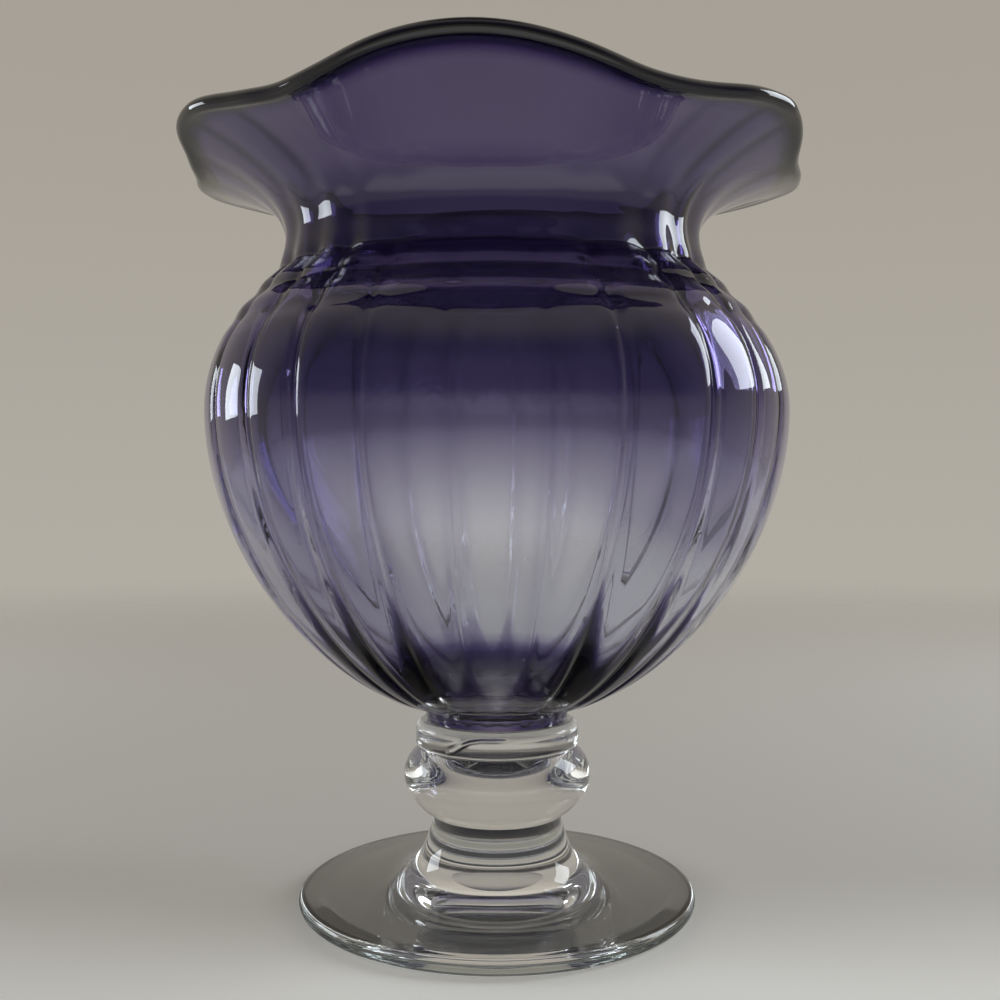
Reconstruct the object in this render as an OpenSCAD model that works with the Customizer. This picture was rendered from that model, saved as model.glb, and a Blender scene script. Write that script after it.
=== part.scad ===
// Footed art glass vase: a violet blown bowl with optic ribs and a three-lobed
// ruffled mouth, on a clear collar, a clear solid knop and a clear flared foot.
// Millimetres, +Z up, origin on the table at the middle of the foot.

/* [Foot] */
// Radius of the foot at its rounded edge
foot_r = 66.6; // [60:0.1:74]
// Thickness of the foot at its edge
foot_edge = 5.2; // [4:0.1:7]
// Height of the foot's top surface where the flare begins
foot_dish_z = 8; // [7:0.1:10]
// Height of the foot, up to the joint with the knop
foot_h = 29.5; // [24:0.1:36]
// Radius of the post at the top of the foot
post_r = 21.3; // [20.6:0.1:24]
// How far the flare spreads out from the post
flare_w = 16; // [10:0.1:24]
// Inner radius of the ring that the vase stands on
ring_in_r = 57; // [45:0.1:60]
// Depth of the hollow under the foot
hollow_d = 2.2; // [1:0.1:3.5]
// Radius of the ground spot under the foot
pontil_r = 11; // [8:0.1:15]
// Depth of the ground spot
pontil_d = 0.6; // [0.3:0.1:1]

/* [Knop] */
// Radius of the knop at its widest
knop_r = 31.5; // [30:0.1:36]
// Height of the knop between its two joints
knop_h = 23; // [20:0.1:27]
// Height of the widest place above the joint with the foot
knop_wide_h = 13.8; // [12:0.1:15]
// Half height of the oval that shapes the lower half
knop_low_b = 18; // [17:0.1:22]
// Half height of the oval that shapes the upper half
knop_top_b = 17; // [15:0.1:20]

/* [Collar] */
// Radius of the collar
collar_r = 27.5; // [26.5:0.1:30]
// Thickness of glass between the knop and the bowl
collar_t = 5; // [4:0.1:8]
// Height of the lip that holds the bowl's end
lip_h = 4; // [2:0.1:5]
// Rounding of the collar's edges
collar_round = 1.4; // [0.6:0.1:1.8]
// Gap between the lip and the bowl's end
seat_gap = 0.15; // [0.1:0.01:0.3]
// Radius of the thread's lapped end, a short raised tail
tail_r = 1.1; // [0.7:0.1:1.5]
// How far the tail stands out of the collar
tail_out = 0.6; // [0.3:0.1:0.8]
// Radius of the tail's own bend, tighter than the collar so that its ends sink in
tail_bend_r = 16; // [12:0.1:18]
// Tilt of the tail as it climbs across the collar, in degrees
tail_tilt = 14; // [5:1:18]
// Direction of the tail's middle in degrees
tail_turn = 250; // [0:1:359]

/* [Bowl] */
// Radius of the flat on which the bowl sits
seat_r = 17; // [12:0.1:19]
// Radius of the bowl's solid end
base_r = 24.5; // [22:0.1:25.5]
// Height of the bowl's solid end
base_h = 8.5; // [7:0.1:11]
// Radius at the belly
belly_r = 96.4; // [85:0.1:105]
// Height of the belly above the bowl's seat
belly_h = 106.5; // [95:0.1:118]
// Height of the shoulder crease above the bowl's seat
crease_h = 152; // [142:0.1:160]
// Radius at the shoulder crease
crease_r = 72; // [68:0.1:80]
// Height of the narrowest place of the neck above the bowl's seat
neck_h = 163.5; // [161:0.1:172]
// Radius of the neck at its narrowest
neck_r = 69.2; // [60:0.1:71.5]
// Thickness of the wall
wall = 3; // [2:0.1:4]
// Height of the inner floor above the bowl's seat
floor_h = 12.5; // [10:0.1:18]
// Radius of the inner floor
floor_r = 18; // [12:0.1:22]
// How far the mouth leans to the left, as the hand-made piece does
lean = 1.5; // [0:0.1:3]

/* [Ribs] */
// Number of optic ribs
ribs = 24; // [12:1:26]
// Depth of the creases between the ribs
rib_d = 1.5; // [0:0.1:2]
// Direction of the first crease in degrees
rib_turn = 10; // [0:0.5:30]
// Depth of the grooves that part the two shoulder ridges
ridge_d = 1.1; // [0:0.1:1.5]
// Height of one shoulder ridge
ridge_h = 8.8; // [7:0.1:11]

/* [Mouth] */
// Mean radius of the mouth at its outer edge
mouth_r = 107.3; // [98:0.1:114]
// Mean height of the mouth above the bowl's seat
mouth_h = 190.5; // [184:0.1:202]
// Number of lobes
lobes = 3; // [2:1:5]
// How far a lobe reaches out
lobe_out = 7.5; // [0:0.1:12]
// How much narrower a lobe is than the bay beside it
lobe_nip = 4.6; // [0:0.1:7]
// Drop of a lobe below the mean height
lobe_drop = 0.6; // [0:0.1:4]
// Rise of the lobes' crowns and of the bays
lobe_wave = 2.1; // [0:0.1:3]
// Direction of the first lobe in degrees
lobe_turn = 267; // [0:1:359]
// Radius of the fire-polished bead on the edge
bead_r = 2.2; // [2.1:0.1:3.2]
// Height over which the neck turns out into the mouth
turn_h = 15.5; // [8:0.1:18]

/* [Hidden] */

// Exponents of the bowl's curves
low_out_share = 1.5;
low_up_share = 1.9;
shoulder_share = 2.05;
panel_share = 0.62;

// Steps of the curves
sectors_per_rib = 4;
low_steps = 9;
inner_steps = 8;
knop_steps = 10;
hollow_steps = 10;
round_steps = 5;
seat_steps = 6;
flare_steps = 12;
round_fn = 96;

// Angles: a quarter turn, half the sweep of the tail, and between the bead's rows
quarter_turn = 90;
tail_half_turn = 35;
bead_row_turn = 56;

// Heights of the joints
knop_z = foot_h;
collar_z = knop_z + knop_h;
seat_z = collar_z + collar_t;
lip_z = seat_z + lip_h;
low_z = seat_z + base_h;
belly_z = seat_z + belly_h;
crease_z = seat_z + crease_h;
neck_z = seat_z + neck_h;
floor_z = seat_z + floor_h;
mouth_z = seat_z + mouth_h;

// Radii of the knop's two joints
knop_low_r = knop_r * sqrt(1 - pow(knop_wide_h / knop_low_b, 2));
knop_top_h = knop_h - knop_wide_h;
knop_top_r = knop_r * sqrt(1 - pow(knop_top_h / knop_top_b, 2));

// Half turn of points round an oval, from angle a0 to a1
function oval(cr, cz, ra, rb, a0, a1, n) =
    [for (i = [0 : n]) let (a = a0 + (a1 - a0) * i / n) [cr + ra * cos(a), cz + rb * sin(a)]];

// Foot

edge_c = foot_edge / 2;
spot_z = hollow_d * (1 - pow(pontil_r / ring_in_r, 2));
function hollow_z(r) = hollow_d * (1 - pow(r / ring_in_r, 2));

module foot_profile() {
    polygon(concat(
        [[0, spot_z + pontil_d], [pontil_r, spot_z + pontil_d]],
        [for (i = [0 : hollow_steps]) let (r = pontil_r + (ring_in_r - pontil_r) * i / hollow_steps)
            [r, hollow_z(r)]],
        oval(foot_r - edge_c, edge_c, edge_c, edge_c, -quarter_turn, quarter_turn, flare_steps),
        [for (i = [0 : flare_steps]) let (a = quarter_turn * (1 - i / flare_steps))
            [post_r + flare_w * (1 - cos(a)),
             foot_dish_z + (foot_h - foot_dish_z) * (1 - sin(a))]],
        [[0, foot_h]]
    ));
}

module foot() {
    color([0.86, 0.89, 0.88, 0.5])
        rotate_extrude($fn = round_fn) foot_profile();
}

// Knop

module knop_profile() {
    low_a = asin(knop_wide_h / knop_low_b);
    top_a = asin(knop_top_h / knop_top_b);
    wide_z = knop_z + knop_wide_h;
    polygon(concat(
        [[0, knop_z]],
        [for (i = [0 : knop_steps]) let (a = low_a * (i / knop_steps - 1))
            [knop_r * cos(a), wide_z + knop_low_b * sin(a)]],
        [for (i = [1 : knop_steps]) let (a = top_a * i / knop_steps)
            [knop_r * cos(a), wide_z + knop_top_b * sin(a)]],
        [[0, collar_z]]
    ));
}

module knop() {
    color([0.86, 0.89, 0.88, 0.5])
        rotate_extrude($fn = round_fn) knop_profile();
}

// Collar: a disc of clear thread with a lip round the bowl's end

// Outer radius of the bowl's solid end at a height above its seat
function base_at(h) =
    seat_r + (base_r - seat_r) * sqrt(1 - pow(1 - h / base_h, 2));

module collar_profile() {
    mid_r = collar_r - collar_round;
    polygon(concat(
        [[0, collar_z]],
        oval(mid_r, collar_z + collar_round, collar_round, collar_round, -quarter_turn, 0, round_steps),
        oval(mid_r, lip_z - collar_round, collar_round, collar_round, 0, quarter_turn, round_steps),
        [for (i = [seat_steps : -1 : 0]) let (h = lip_h * i / seat_steps)
            [base_at(h) + seat_gap, seat_z + h]],
        [[0, seat_z]]
    ));
}

// The thread's tail climbs across the collar and sinks into it at both ends
module collar_tail() {
    mid_x = collar_r + tail_out - tail_r - tail_bend_r;
    translate([0, 0, (collar_z + lip_z) / 2])
        rotate([0, 0, tail_turn])
        rotate([tail_tilt, 0, 0])
        translate([mid_x, 0, 0])
        rotate([0, 0, -tail_half_turn])
        rotate_extrude(angle = 2 * tail_half_turn, $fn = round_fn)
            translate([tail_bend_r, 0]) circle(r = tail_r, $fn = 24);
}

module collar() {
    color([0.84, 0.88, 0.87, 0.5]) {
        rotate_extrude($fn = round_fn) collar_profile();
        collar_tail();
    }
}

// Bowl: one closed skin, swept round in sectors; each sector has the same rows
// of points from the seat, up the outside, over the bead and down the inside

sectors = ribs * sectors_per_rib;

// 0 in a crease, 1 in the middle of a rib
function panel(a) = pow(abs(sin((a - rib_turn) * ribs / 2)), panel_share);

// Strength of the ribs from the seat to the mouth
function ease(x) = let (c = max(0, min(1, x))) c * c * (3 - 2 * c);
function rib_at(z) =
    ease((z - seat_z) / (2 * base_h)) * (1 - 0.45 * ease((z - belly_z) / (crease_z - belly_z)))
    * (1 - 0.8 * ease((z - crease_z) / (mouth_z - crease_z)));

// The mouth leans a little as it rises from the belly
function lean_at(z) = lean * ease((z - belly_z) / (neck_z - belly_z));

// Outer curve between the solid end and the belly, a from 0 to 90
function low_wall(a) = [
    base_r + (belly_r - base_r) * pow(sin(a), 2 / low_out_share),
    belly_z - (belly_z - low_z) * pow(cos(a), 2 / low_up_share)];

// Inner curve between the floor and the belly
function low_inner(a) = [
    floor_r + (belly_r - wall - floor_r) * pow(sin(a), 2 / low_out_share),
    belly_z - (belly_z - floor_z) * pow(cos(a), 2 / low_up_share)];

// Radius of the shoulder at a height, its grooves left out
function shoulder_r(z) =
    belly_r - (belly_r - crease_r) * pow(max(0, z - belly_z) / (crease_z - belly_z), shoulder_share);

// Slope of the shoulder, radius lost for each unit of height
function shoulder_slope(z) =
    (belly_r - crease_r) * shoulder_share / (crease_z - belly_z)
    * pow(max(0, z - belly_z) / (crease_z - belly_z), shoulder_share - 1);

// Offset of the inside of the shoulder along its normal
function shoulder_in(z) = let (m = shoulder_slope(z), k = wall / sqrt(1 + m * m))
    [shoulder_r(z) - k, z - m * k];

// Edge of the mouth in direction a
function mouth_at(a) = let (q = lobes * (a - lobe_turn)) [
    mouth_r + lobe_out * cos(q) + lobe_nip * cos(2 * q),
    mouth_z - lobe_drop * cos(q) + lobe_wave * cos(2 * q)];

// Outer curve of the neck as it turns out to the mouth, s from 0 to 1
function flare(a, s) = let (m = mouth_at(a), b0 = (1 - s) * (1 - s), b1 = 2 * s * (1 - s), b2 = s * s)
    [b0 * neck_r + b1 * neck_r + b2 * m[0],
     b0 * neck_z + b1 * (neck_z + turn_h) + b2 * m[1]];
function flare_dir(a, s) = let (m = mouth_at(a),
    d = [s * (m[0] - neck_r), (1 - s) * turn_h + s * (m[1] - neck_z - turn_h)]) d / norm(d);
function flare_in(a, s) = let (d = flare_dir(a, s)) flare(a, s) + wall * [-d[1], d[0]];

// Bead: points round its section, t counted from the way the wall runs out
function bead(a, t) = let (d = flare_dir(a, 1), n = [-d[1], d[0]],
    c = flare(a, 1) + (wall / 2) * n - bead_r * d)
    c + bead_r * (cos(t) * d + sin(t) * n);

ridge_low_z = crease_z - 2 * ridge_h;

// Half way between the shoulder crease and the neck
nape_r = (crease_r - ridge_d + neck_r) / 2;
nape_z = (crease_z + neck_z) / 2;

function groove(z, k) = [shoulder_r(z) - ridge_d * k, z];

function rows(a) = concat(
    [[seat_r, seat_z]],
    [for (h = [0.15, 0.5, 1] * base_h) [base_at(h), seat_z + h]],
    [for (i = [1 : low_steps]) low_wall(quarter_turn * i / low_steps)],
    [for (t = [0.4, 0.78]) let (z = belly_z + (ridge_low_z - belly_z) * t) groove(z, 0)],
    [for (i = [0 : 4]) groove(ridge_low_z + ridge_h * i / 2, 1 - i % 2)],
    [[nape_r, nape_z], [neck_r, neck_z]],
    [for (s = [0.3, 0.52, 0.72, 0.9]) flare(a, s)],
    [for (i = [-2 : 2]) bead(a, i * bead_row_turn)],
    [for (s = [0.85, 0.6, 0.35]) flare_in(a, s)],
    [[neck_r - wall, neck_z], [nape_r - wall, nape_z]],
    [for (t = [0.97, 0.75, 0.5, 0.25]) shoulder_in(belly_z + (crease_z - belly_z) * t)],
    [for (i = [inner_steps : -1 : 0]) low_inner(quarter_turn * i / inner_steps)]
);

n_rows = len(rows(0));

// Ribs press on the outside in full and on the inside by half
outer_rows = 1 + 3 + low_steps + 2 + 5 + 2 + 4;
function rib_cut(a, p, j) =
    rib_d * (1 - panel(a)) * rib_at(p[1]) * (j < outer_rows ? 1 : 0.5);

bowl_points = concat(
    [for (k = [0 : sectors - 1]) let (a = rib_turn + 360 * k / sectors, c = rows(a))
        for (j = [0 : n_rows - 1]) let (p = c[j], r = p[0] - rib_cut(a, p, j))
            [r * cos(a) - lean_at(p[1]), r * sin(a), p[1]]],
    [[0, 0, seat_z], [0, 0, floor_z]]
);

function id(k, j) = (k % sectors) * n_rows + j;
seat_mid = sectors * n_rows;
floor_mid = seat_mid + 1;

bowl_faces = concat(
    [for (k = [0 : sectors - 1], j = [0 : n_rows - 2])
        for (f = [[id(k, j), id(k, j + 1), id(k + 1, j + 1)],
                  [id(k, j), id(k + 1, j + 1), id(k + 1, j)]]) f],
    [for (k = [0 : sectors - 1]) [seat_mid, id(k, 0), id(k + 1, 0)]],
    [for (k = [0 : sectors - 1]) [floor_mid, id(k + 1, n_rows - 1), id(k, n_rows - 1)]]
);

module bowl() {
    color([0.33, 0.28, 0.47, 0.75])
        polyhedron(points = bowl_points, faces = bowl_faces, convexity = 8);
}

foot();
knop();
collar();
bowl();
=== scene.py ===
"""Looks of a footed blown-glass vase: an ombre violet bowl on clear collar, knop and foot."""

import logging
import math
from collections.abc import Callable, Sequence
from dataclasses import dataclass, field
from enum import Enum

import bpy
import numpy as np
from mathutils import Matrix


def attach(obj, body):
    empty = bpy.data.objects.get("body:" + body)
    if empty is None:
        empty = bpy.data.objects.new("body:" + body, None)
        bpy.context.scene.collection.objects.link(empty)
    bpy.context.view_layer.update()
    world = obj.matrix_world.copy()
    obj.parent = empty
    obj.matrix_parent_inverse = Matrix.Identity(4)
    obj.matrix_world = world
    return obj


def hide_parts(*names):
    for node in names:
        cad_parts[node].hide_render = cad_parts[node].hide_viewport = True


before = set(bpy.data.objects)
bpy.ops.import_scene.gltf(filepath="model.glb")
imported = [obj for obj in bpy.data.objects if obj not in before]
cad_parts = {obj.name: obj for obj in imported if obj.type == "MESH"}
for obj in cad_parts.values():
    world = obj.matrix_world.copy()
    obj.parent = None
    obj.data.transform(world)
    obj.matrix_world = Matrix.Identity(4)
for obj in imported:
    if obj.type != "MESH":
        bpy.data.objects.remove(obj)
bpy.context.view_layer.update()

log = logging.getLogger("vase")

MM = 0.001
MERGE = 1e-6  # metres
JOINT = 0.99  # share of a joint's radius that overlaps the next piece
SEED_CORE = 0.4  # share of a seed's radius inside its soft edge

Point = tuple[float, float]
Span = tuple[float, float]  # where a change starts, and where it is whole
Colour = tuple[float, float, float]
Numbers = np.ndarray | float


class Piece(Enum):
    """The vase's four pieces, by the name of their solid in the frame."""

    FOOT = "foot"
    KNOP = "knop"
    COLLAR = "collar"
    BOWL = "bowl"


class Stretch(Enum):
    """Stretches of the bowl's wall, from its seat up outside, over the bead and down inside."""

    SEAT = "flat on the collar"
    END = "solid end"
    LOW = "lower belly"
    SHOULDER = "shoulder"
    NECK = "neck"
    FLARE = "flared mouth"
    BEAD = "fire-polished bead"
    FLARE_IN = "flared mouth, inside"
    NECK_IN = "neck, inside"
    SHOULDER_IN = "shoulder, inside"
    LOW_IN = "lower belly, inside"
    FLOOR = "inner floor"


def ease(x: Numbers) -> Numbers:
    """Smooth step from 0 at x = 0 to 1 at x = 1."""
    c = np.clip(x, 0.0, 1.0)
    return c * c * (3.0 - 2.0 * c)


def rise(x: Numbers, low: Numbers, high: Numbers) -> Numbers:
    """Smooth step from 0 at x = low to 1 at x = high."""
    return ease((x - low) / (high - low))


def oval(centre: Point, across: float, up: float, start: float, end: float, steps: int) -> list[Point]:
    """Points on an oval.

    Args:
        centre: Its middle, as radius and height.
        across: Half its width.
        up: Half its height.
        start: First angle in degrees, counted from outward.
        end: Last angle in degrees.
        steps: How many steps between them.

    Returns:
        steps + 1 points.
    """
    turns = [math.radians(start + (end - start) * i / steps) for i in range(steps + 1)]
    return [(centre[0] + across * math.cos(t), centre[1] + up * math.sin(t)) for t in turns]


# Nodes


class Num:
    """A number on a shader socket. Sums, products and powers of it add Math nodes."""

    def __init__(self, book: "NodeBook", socket: bpy.types.NodeSocket) -> None:
        """Keeps the node book and the socket."""
        self.book = book
        self.socket = socket

    def _math(self, operation: str, *values: "Num | float") -> "Num":
        """One Math node on these values."""
        node = self.book.add("ShaderNodeMath", {"operation": operation}, dict(enumerate(values)))
        return Num(self.book, node.outputs[0])

    def __add__(self, other: "Num | float") -> "Num":
        """self + other."""
        return self._math("ADD", self, other)

    __radd__ = __add__

    def __sub__(self, other: "Num | float") -> "Num":
        """self - other."""
        return self._math("SUBTRACT", self, other)

    def __rsub__(self, other: float) -> "Num":
        """other - self."""
        return self._math("SUBTRACT", other, self)

    def __mul__(self, other: "Num | float") -> "Num":
        """self * other."""
        return self._math("MULTIPLY", self, other)

    __rmul__ = __mul__

    def __truediv__(self, other: "Num | float") -> "Num":
        """self / other."""
        return self._math("DIVIDE", self, other)

    def __pow__(self, other: "Num | float") -> "Num":
        """self to the power of other."""
        return self._math("POWER", self, other)

    def eased(self, low: float, high: float) -> "Num":
        """Smooth step of this number.

        Args:
            low: Where it starts.
            high: Where it ends.

        Returns:
            0 below low, 1 above high, smooth between.
        """
        node = self.book.add(
            "ShaderNodeMapRange",
            {"interpolation_type": "SMOOTHSTEP"},
            {"Value": self, "From Min": low, "From Max": high, "To Min": 0.0, "To Max": 1.0},
        )
        return Num(self.book, node.outputs[0])


class NodeBook:
    """Adds nodes to one node tree, whose textures and masks start from one coordinate."""

    def __init__(self, tree: bpy.types.NodeTree, coordinate: str = "Object") -> None:
        """Empties the tree and adds its coordinate.

        Args:
            tree: The node tree.
            coordinate: The point on the piece or, in a world, the direction of the view.
        """
        tree.nodes.clear()
        self.tree = tree
        self.point = self.add("ShaderNodeTexCoord").outputs[coordinate]

    def add(
        self, kind: str, settings: dict | None = None, sockets: dict | None = None
    ) -> bpy.types.Node:
        """Adds a node.

        Args:
            kind: The node's type.
            settings: Its settings, set before its sockets. "stops" are a colour ramp's.
            sockets: Input name or number, and the value or link it gets.

        Returns:
            The node.
        """
        node = self.tree.nodes.new(kind)
        for name, value in (settings or {}).items():
            if name == "stops":
                self._stops(node.color_ramp, value)
            else:
                setattr(node, name, value)
        for name, value in (sockets or {}).items():
            if isinstance(value, Num):
                value = value.socket
            if isinstance(value, bpy.types.NodeSocket):
                self.tree.links.new(value, node.inputs[name])
            else:
                node.inputs[name].default_value = value
        return node

    @staticmethod
    def _stops(ramp: bpy.types.ColorRamp, stops: Sequence[tuple[float, Colour]]) -> None:
        """Gives a new colour ramp these stops.

        Args:
            ramp: The ramp.
            stops: Place and colour of each stop.
        """
        while len(ramp.elements) < len(stops):
            ramp.elements.new(1.0)
        for element, (place, colour) in zip(ramp.elements, stops):
            element.position = place
            element.color = (*colour, 1.0)

    def axes(self) -> tuple[Num, ...]:
        """The coordinate's x, y and z."""
        split = self.add("ShaderNodeSeparateXYZ", None, {0: self.point})
        return tuple(Num(self, axis) for axis in split.outputs)

    def reach(self) -> Num:
        """The coordinate's distance from the upright axis."""
        x, y, _ = self.axes()
        return (x * x + y * y) ** 0.5

    def blend(
        self, amount: Num, first: bpy.types.NodeSocket | Colour, second: bpy.types.NodeSocket | Colour
    ) -> bpy.types.NodeSocket:
        """Mixes two colours.

        Args:
            amount: Share of the second colour.
            first: Colour at 0, as a socket or as three numbers.
            second: Colour at 1, likewise.

        Returns:
            The socket of the mixed colour.
        """
        sockets = {"Factor": amount}
        for name, end in (("A", first), ("B", second)):
            sockets[name] = end if isinstance(end, bpy.types.NodeSocket) else (*end, 1.0)
        return self.add("ShaderNodeMix", {"data_type": "RGBA"}, sockets).outputs["Result"]

    def noise(self, point: bpy.types.NodeSocket, scale: float, detail: float = 2.0) -> Num:
        """Soft noise from 0 to 1 at a scale per metre."""
        node = self.add("ShaderNodeTexNoise", None, {"Vector": point, "Scale": scale, "Detail": detail})
        return Num(self, node.outputs["Fac"])

    def seeds(self, scale: float, size: float) -> Num:
        """Small round spots, such as seeds in glass.

        Args:
            scale: Cells per metre, with one spot in each.
            size: Radius of a spot, in cells.

        Returns:
            1 in the spots, 0 around them.
        """
        cells = {"Vector": self.point, "Scale": scale, "Randomness": 1.0}
        spots = self.add("ShaderNodeTexVoronoi", {"feature": "F1"}, cells)
        return 1.0 - Num(self, spots.outputs["Distance"]).eased(size * SEED_CORE, size)


@dataclass(frozen=True)
class ClearGlass:
    """Clear fire-polished glass, faintly green-grey, with striae and a few seeds.

    Scales are per metre and lengths in metres.
    """

    name: str
    tint: Colour = (0.972, 0.984, 0.98)
    index: float = 1.5
    striae: float = 14.0
    striae_long: float = 5.0
    striae_edge: Span = (0.35, 0.75)
    striae_dark: float = 0.965
    ripple: float = 0.35
    ripple_depth: float = 0.0006
    wave: float = 28.0
    wave_high: float = 0.6
    grain: float = 120.0
    grain_high: float = 0.025
    seed: float = 75.0
    seed_r: float = 0.06
    seed_high: float = 0.12
    polish: float = 0.004
    smear: float = 40.0
    smear_edge: Span = (0.5, 0.8)
    smear_rough: float = 0.02

    def tint_of(self, book: NodeBook) -> bpy.types.NodeSocket:
        """Colour of the glass: the tint, a little deeper along its striae.

        Args:
            book: The material's node book.

        Returns:
            The colour's socket.
        """
        stretch = {"Vector": book.point, "Scale": (1.0, 1.0, self.striae_long)}
        streaks = book.add("ShaderNodeMapping", None, stretch).outputs[0]
        amount = book.noise(streaks, self.striae).eased(*self.striae_edge)
        return book.blend(amount, self.tint, tuple(c * self.striae_dark for c in self.tint))

    def rough_of(self, book: NodeBook) -> Num:
        """Roughness of the glass: polished, with faint smears."""
        smear = book.noise(book.point, self.smear, detail=3.0).eased(*self.smear_edge)
        return self.polish + smear * self.smear_rough

    def make(self) -> bpy.types.Material:
        """The finished material.

        Returns:
            A new material with the finish's name.
        """
        material = bpy.data.materials.new(self.name)
        material.use_nodes = True
        book = NodeBook(material.node_tree)
        wave = book.noise(book.point, self.wave, detail=1.0) * self.wave_high
        grain = book.noise(book.point, self.grain, detail=1.0) * self.grain_high
        height = wave + grain + book.seeds(self.seed, self.seed_r) * self.seed_high
        relief = {"Strength": self.ripple, "Distance": self.ripple_depth, "Height": height}
        shader = book.add(
            "ShaderNodeBsdfPrincipled",
            None,
            {
                "Base Color": self.tint_of(book),
                "Roughness": self.rough_of(book),
                "Normal": book.add("ShaderNodeBump", None, relief).outputs[0],
                "IOR": self.index,
                "Transmission Weight": 1.0,
            },
        )
        book.add("ShaderNodeOutputMaterial", None, {"Surface": shader.outputs[0]})
        return material


@dataclass(frozen=True)
class FootGlass(ClearGlass):
    """Clear glass, greyer round the foot's edge in part by painted shade, with a frosted spot ground
    underneath.
    """

    # the green of thick glass at the edge, deepened with painted shade
    rim: Colour = (0.38, 0.43, 0.42)
    rim_r: Span = (0.0632, 0.0652)
    rim_z: Span = (0.0032, 0.0046)
    ground_r: Span = (0.0105, 0.0115)
    ground_z: Span = (0.0034, 0.004)
    ground_rough: float = 0.4

    def tint_of(self, book: NodeBook) -> bpy.types.NodeSocket:
        """Colour of the glass, greyer round the edge: thick glass seen edge-on, deepened with painted
        shade.
        """
        edge = book.reach().eased(*self.rim_r) * (1.0 - book.axes()[2].eased(*self.rim_z))
        return book.blend(edge, super().tint_of(book), self.rim)

    def rough_of(self, book: NodeBook) -> Num:
        """Roughness of the glass, frosted on the ground spot."""
        spot = (1.0 - book.reach().eased(*self.ground_r)) * (1.0 - book.axes()[2].eased(*self.ground_z))
        return super().rough_of(book) + spot * self.ground_rough


@dataclass(frozen=True)
class OmbreGlass(ClearGlass):
    """Violet glass. The attribute "violet" on the mesh says how much colour the wall holds, painted
    shade included.
    """

    pale: Colour = (0.9, 0.93, 1.0)
    full: Colour = (0.19, 0.158, 0.315)
    most: float = 7.0
    stops: int = 30
    uneven: float = 9.0
    uneven_share: float = 0.16
    ripple: float = 0.3

    def tint_of(self, book: NodeBook) -> bpy.types.NodeSocket:
        """Colour of the wall, with slight unevenness in the amount of violet.

        Args:
            book: The material's node book.

        Returns:
            The colour's socket.
        """
        held = Num(book, book.add("ShaderNodeAttribute", {"attribute_name": "violet"}).outputs["Fac"])
        uneven = 1.0 - self.uneven_share / 2 + book.noise(book.point, self.uneven) * self.uneven_share
        stops = []
        for place in (i / (self.stops - 1) for i in range(self.stops)):
            amount = self.most * place**2
            stops.append((place, tuple(p * f**amount for p, f in zip(self.pale, self.full))))
        # pale glass changes fastest, so its stops lie closer and the ramp is read by the root
        root = (held * uneven / self.most) ** 0.5
        return book.add("ShaderNodeValToRGB", {"stops": stops}, {"Fac": root}).outputs["Color"]


# Shapes


def spun(name: str, section: Sequence[Point], steps: int) -> bpy.types.Object:
    """Spins an open section round the upright axis into a closed solid.

    The section starts and ends on the axis. Each vertex keeps the number of its
    row in the attribute "row".

    Args:
        name: The new object's name.
        section: Points as radius and height in millimetres, from the bottom out and up.
        steps: Steps of the full turn.

    Returns:
        The object, smooth, with its faces outward.
    """
    bpy.ops.object.select_all(action="DESELECT")
    bpy.ops.mesh.primitive_circle_add(vertices=len(section), radius=1.0, fill_type="NOTHING")
    solid = bpy.context.object
    solid.name = solid.data.name = name
    mesh = solid.data
    for vertex, (r, z) in zip(mesh.vertices, section):
        vertex.co = (r * MM, 0.0, z * MM)
    rows = mesh.attributes.new("row", "INT", "POINT")
    rows.data.foreach_set("value", np.arange(len(section), dtype=np.int32))
    # the circle is opened along the axis, between its last and its first point
    last = len(section) - 1
    bpy.ops.object.mode_set(mode="EDIT")
    bpy.ops.mesh.select_mode(type="EDGE")
    bpy.ops.mesh.select_all(action="DESELECT")
    bpy.ops.object.mode_set(mode="OBJECT")
    for edge in mesh.edges:
        edge.select = set(edge.vertices) == {0, last}
    bpy.ops.object.mode_set(mode="EDIT")
    bpy.ops.mesh.delete(type="EDGE_FACE")
    bpy.ops.object.mode_set(mode="OBJECT")
    bpy.ops.object.modifier_add(type="SCREW")
    turn = solid.modifiers[-1]
    turn.angle, turn.steps, turn.render_steps = math.tau, steps, steps
    turn.use_merge_vertices, turn.merge_threshold = True, MERGE
    bpy.ops.object.modifier_apply(modifier=turn.name)
    bpy.ops.object.mode_set(mode="EDIT")
    bpy.ops.mesh.select_mode(type="VERT")
    bpy.ops.mesh.select_all(action="SELECT")
    bpy.ops.mesh.remove_doubles(threshold=MERGE)
    bpy.ops.mesh.normals_make_consistent(inside=False)
    bpy.ops.object.mode_set(mode="OBJECT")
    bpy.ops.object.shade_smooth()
    return solid


def reshape(
    solid: bpy.types.Object, moved: Callable[[np.ndarray, np.ndarray, np.ndarray], np.ndarray]
) -> None:
    """Moves each vertex of a spun solid.

    Args:
        solid: The object.
        moved: Takes rows, places in millimetres and angles in degrees, and gives new places.
    """
    mesh = solid.data
    count = len(mesh.vertices)
    places = np.empty(count * 3)
    mesh.vertices.foreach_get("co", places)
    places = places.reshape(-1, 3) / MM
    rows = np.empty(count, dtype=np.int32)
    mesh.attributes["row"].data.foreach_get("value", rows)
    angles = np.degrees(np.arctan2(places[:, 1], places[:, 0]))
    mesh.vertices.foreach_set("co", (moved(rows, places, angles) * MM).ravel())
    mesh.update()


def write(solid: bpy.types.Object, name: str, values: np.ndarray) -> None:
    """Keeps a number for each vertex in an attribute."""
    kept = solid.data.attributes.new(name, "FLOAT", "POINT")
    kept.data.foreach_set("value", values.astype(np.float32))


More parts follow.
